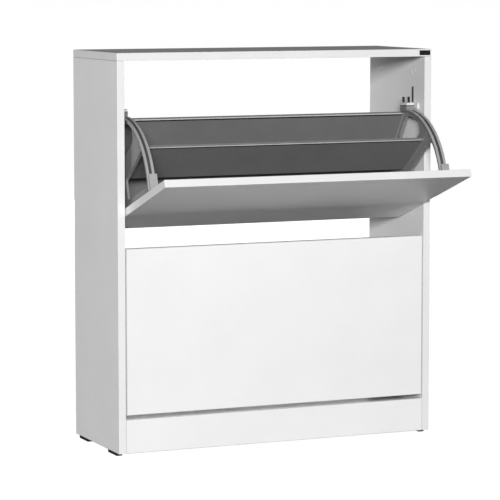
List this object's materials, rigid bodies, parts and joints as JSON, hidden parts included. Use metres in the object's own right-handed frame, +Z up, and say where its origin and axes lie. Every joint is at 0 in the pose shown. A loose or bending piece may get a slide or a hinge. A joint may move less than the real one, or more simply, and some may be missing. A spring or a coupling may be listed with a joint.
{
  "type": "shoe cabinet",
  "caption": "Slim free-standing shoe cabinet, white board sides and top, with tilting flap units on moulded side frames that hold grey shelf boards; upper unit open.",
  "frame": {"origin": "on the floor, under the middle of the footprint with the upper flap open", "axes": "+Z up, the flaps face -Y, +X runs along the width, towards the end with the tag"},
  "size_m": [0.73, 0.4902, 0.8473],
  "materials": {
    "white_board": "white melamine face and edging, fine satin grain",
    "grey_board": "grey lacquered hardboard",
    "grey_plastic": "moulded, matt",
    "black_plastic": "satin",
    "white_plastic": "satin",
    "dark_plastic": "satin",
    "zinc": "zinc-plated"
  },
  "bodies": {
    "carcass": {"side_panel_left": "white_board", "side_panel_right": "white_board", "top_panel": "white_board", "bottom_panel": "white_board", "plinth_board": "white_board", "rear_rail_lower": "white_board", "rear_rail_upper": "white_board", "edge_tag": "black_plastic", "glide_front_left": "black_plastic", "glide_front_right": "black_plastic", "glide_back_left": "black_plastic", "glide_back_right": "black_plastic", "top_cam_front_left": "zinc", "top_cam_front_right": "zinc", "top_cam_back_left": "zinc", "top_cam_back_right": "zinc", "top_cam_bolt_front_left": "zinc", "top_cam_bolt_front_right": "zinc", "top_cam_bolt_back_left": "zinc", "top_cam_bolt_back_right": "zinc", "pivot_pin_upper_left": "dark_plastic", "pivot_pin_upper_right": "dark_plastic", "stop_block_upper_left": "white_plastic", "stop_block_upper_right": "white_plastic", "stop_leaf_upper_left": "dark_plastic", "stop_leaf_upper_right": "dark_plastic", "pivot_pin_lower_left": "dark_plastic", "pivot_pin_lower_right": "dark_plastic", "stop_block_lower_left": "white_plastic", "stop_block_lower_right": "white_plastic", "stop_leaf_lower_left": "dark_plastic", "stop_leaf_lower_right": "dark_plastic"},
    "upper_unit": {"flap_upper": "white_board", "divider_board_upper": "grey_board", "back_board_upper": "grey_board", "bottom_board_upper": "grey_board", "side_frame_upper_left": "grey_plastic", "side_frame_upper_right": "grey_plastic", "frame_screw_upper_low_left": "zinc", "frame_screw_upper_low_right": "zinc", "frame_screw_upper_high_left": "zinc", "frame_screw_upper_high_right": "zinc"},
    "lower_unit": {"flap_lower": "white_board", "divider_board_lower": "grey_board", "back_board_lower": "grey_board", "bottom_board_lower": "grey_board", "side_frame_lower_left": "grey_plastic", "side_frame_lower_right": "grey_plastic", "frame_screw_lower_low_left": "zinc", "frame_screw_lower_low_right": "zinc", "frame_screw_lower_high_left": "zinc", "frame_screw_lower_high_right": "zinc"}
  },
  "joints": [
    {"name": "upper_unit_tilt", "type": "hinge", "parent": "carcass", "child": "upper_unit", "pos_m": [0, 0.02409, 0.5428], "axis": [1, 0, 0], "range_deg": [-71, 0]},
    {"name": "lower_unit_tilt", "type": "hinge", "parent": "carcass", "child": "lower_unit", "pos_m": [0, 0.02409, 0.1713], "axis": [1, 0, 0], "range_deg": [0, 71]}
  ]
}
